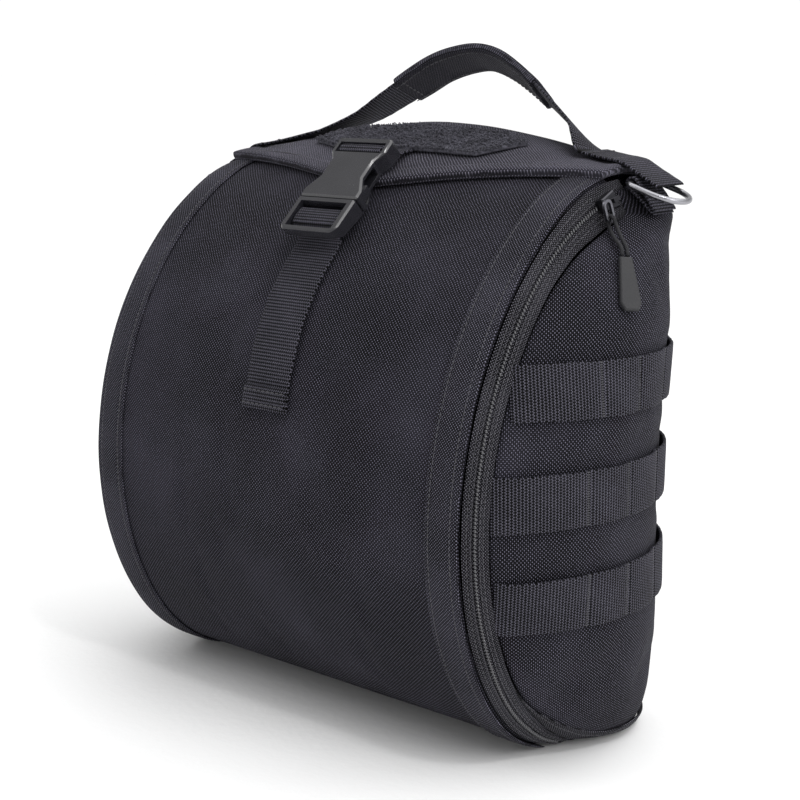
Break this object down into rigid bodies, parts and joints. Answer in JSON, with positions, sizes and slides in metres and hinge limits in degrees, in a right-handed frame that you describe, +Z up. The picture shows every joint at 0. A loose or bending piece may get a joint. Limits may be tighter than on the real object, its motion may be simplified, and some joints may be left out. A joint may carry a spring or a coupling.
{
  "type": "tactical helmet bag",
  "caption": "Padded helmet carrier with a curved zip-down front, buckled lid, side webbing rows, top carry handle and shoulder rings.",
  "frame": {"origin": "middle of the flat underside of the base panel, on the surface that the bag stands on", "axes": "+Z up, -Y out of the curved front, +X to the right seen from the front"},
  "size_m": [0.3294, 0.1779, 0.3495],
  "materials": {
    "front_cloth": "coarse woven polyester",
    "side_cloth": "coarse woven polyester over padding",
    "lid_cloth": "coarse woven polyester over padding",
    "webbing": "ribbed webbing",
    "binding": "fine ribbed tape",
    "loop_pile": "short loop pile",
    "zip_tape": "knitted zip tape",
    "zip_coil": "satin coil",
    "plastic": "fine-grained moulding",
    "rubber": "matt moulding",
    "cord": "braided cord",
    "metal": "dark bright plating"
  },
  "bodies": {
    "bag": {"front_panel": "front_cloth", "base_panel": "front_cloth", "back_panel": "side_cloth", "lid": "lid_cloth", "loop_patch": "loop_pile", "front_strap": "webbing", "flap_strap": "webbing", "handle_strap": "webbing", "handle_wrap": "webbing", "buckle_socket": "plastic", "buckle_plug": "plastic", "side_panel_right": "side_cloth", "side_panel_left": "side_cloth", "edge_binding_right": "binding", "edge_binding_left": "binding", "zip_tape_right": "zip_tape", "zip_tape_left": "zip_tape", "zip_coil_right": "zip_coil", "zip_coil_left": "zip_coil", "molle_1_right": "webbing", "molle_1_left": "webbing", "molle_2_right": "webbing", "molle_2_left": "webbing", "molle_3_right": "webbing", "molle_3_left": "webbing", "zip_slider_right": "metal", "zip_slider_left": "metal", "zip_pull_right": "metal", "zip_pull_left": "metal", "pull_cord_right": "cord", "pull_cord_left": "cord", "pull_tab_right": "rubber", "pull_tab_left": "rubber", "ring_tab_right": "webbing", "ring_tab_left": "webbing"},
    "ring_right": {"d_ring_right": "metal"},
    "ring_left": {"d_ring_left": "metal"}
  },
  "joints": [
    {"name": "ring_right_swing", "type": "hinge", "parent": "bag", "child": "ring_right", "pos_m": [0.134, 0.0165, 0.281], "axis": [0, 1, 0], "range_deg": [-3, 26]},
    {"name": "ring_left_swing", "type": "hinge", "parent": "bag", "child": "ring_left", "pos_m": [-0.134, 0.0165, 0.281], "axis": [0, -1, 0], "range_deg": [-3, 26]}
  ]
}
